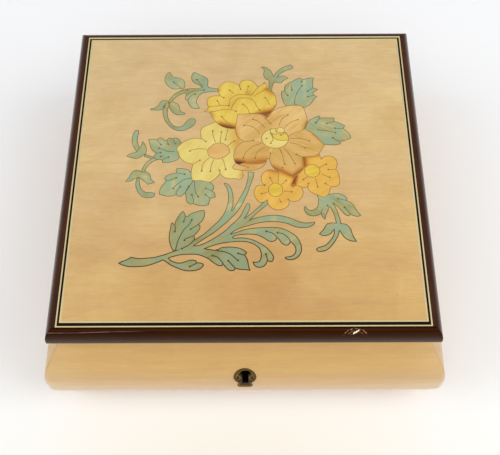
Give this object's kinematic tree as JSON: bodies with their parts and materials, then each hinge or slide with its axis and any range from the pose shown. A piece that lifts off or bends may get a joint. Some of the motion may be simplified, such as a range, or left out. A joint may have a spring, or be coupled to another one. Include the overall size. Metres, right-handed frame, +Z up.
{
  "type": "musical jewelry box",
  "caption": "Small square wooden box with bulging walls, a hinged inlaid lid over a mirror, a key lock, padded compartments and a wind-up music works under a clear cover.",
  "frame": {"origin": "on the surface that the box stands on, under the middle of the box", "axes": "+Z up, -Y out of the front with the keyhole, +X to the right seen from the front"},
  "size_m": [0.172, 0.1724, 0.062],
  "materials": {
    "maple": "figured light veneer under satin lacquer",
    "mahogany": "dark red-brown wood, polished lacquer",
    "stringing": "cream, black and cream lines under lacquer",
    "plywood": "plain sanded board",
    "velvet": "deep red velvet",
    "brass": "polished",
    "dark_brass": "dulled and darkened with age",
    "steel": "fine brushed",
    "zinc": "plain grey die casting",
    "mirror": "silvered glass",
    "acrylic": "clear, polished"
  },
  "bodies": {
    "root": {"front_wall": "maple", "right_wall": "maple", "back_wall": "maple", "left_wall": "maple", "base_board": "plywood", "escutcheon": "dark_brass", "lock_case": "brass", "lock_screw_left": "brass", "lock_screw_right": "brass", "hinge_leaf_case_left": "brass", "hinge_leaf_case_right": "brass", "hinge_pin_left": "steel", "hinge_pin_right": "steel", "hinge_screw_case_left_1": "brass", "hinge_screw_case_left_2": "brass", "hinge_screw_case_right_1": "brass", "hinge_screw_case_right_2": "brass", "wall_lining": "velvet", "floor_pad": "velvet", "rear_divider": "velvet", "works_divider": "velvet", "works_cover": "acrylic", "cover_cleat": "plywood", "ring_roll_1": "velvet", "ring_roll_2": "velvet", "ring_roll_3": "velvet", "bedplate": "zinc", "comb": "steel", "comb_screw_1": "steel", "comb_screw_2": "steel", "fixing_screw_1": "steel", "fixing_screw_2": "steel", "fixing_screw_3": "steel", "governor_bracket": "zinc"},
    "lid": {"lid_panel": "maple", "stringing_frame": "stringing", "moulding_front": "mahogany", "moulding_right": "mahogany", "moulding_back": "mahogany", "moulding_left": "mahogany", "mirror": "mirror", "mirror_frame": "velvet", "strike_plate": "brass", "hinge_leaf_lid_left": "brass", "hinge_leaf_lid_right": "brass", "hinge_screw_lid_left_1": "brass", "hinge_screw_lid_left_2": "brass", "hinge_screw_lid_right_1": "brass", "hinge_screw_lid_right_2": "brass"},
    "bolt": {"lock_bolt": "steel"},
    "key": {"winding_arbor": "steel", "winding_key": "steel"},
    "drum": {"spring_drum": "brass", "mainspring": "steel"},
    "cylinder": {"pinned_cylinder": "brass"},
    "train": {"train_wheel": "brass"},
    "governor": {"governor": "steel"},
    "stop": {"stop_pin": "steel"}
  },
  "joints": [
    {"name": "lid_hinge", "type": "hinge", "parent": "root", "child": "lid", "pos_m": [0, 0.0766, 0.0511], "axis": [-1, 0, 0], "range_deg": [0, 100]},
    {"name": "bolt_slide", "type": "slide", "parent": "root", "child": "bolt", "axis": [0, 0, 1], "range_m": [0, 0.004]},
    {"name": "key_turn", "type": "hinge", "parent": "root", "child": "key", "pos_m": [-0.0497, 0.0415, 0.0038], "axis": [0, 0, 1], "continuous": true},
    {"name": "drum_spin", "type": "hinge", "parent": "root", "child": "drum", "pos_m": [-0.0497, 0.0415, 0.0189], "axis": [0, 0, 1], "continuous": true},
    {"name": "cylinder_spin", "type": "hinge", "parent": "root", "child": "cylinder", "pos_m": [-0.0497, 0.0415, 0.03029], "axis": [1, 0, 0], "continuous": true},
    {"name": "train_spin", "type": "hinge", "parent": "root", "child": "train", "pos_m": [-0.0497, 0.0495, 0.02617], "axis": [1, 0, 0], "continuous": true},
    {"name": "governor_spin", "type": "hinge", "parent": "root", "child": "governor", "pos_m": [-0.011, 0.057, 0.02617], "axis": [0, 0, 1], "continuous": true},
    {"name": "stop_lift", "type": "slide", "parent": "root", "child": "stop", "axis": [0, 0, 1], "range_m": [0, 0.0025]}
  ],
  "couplings": [
    {"joint": "cylinder_spin", "follows": "drum_spin", "ratio": 3},
    {"joint": "train_spin", "follows": "drum_spin", "ratio": -12},
    {"joint": "governor_spin", "follows": "drum_spin", "ratio": 288},
    {"joint": "stop_lift", "follows": "lid_hinge", "m_per_rad": 0.00143}
  ]
}
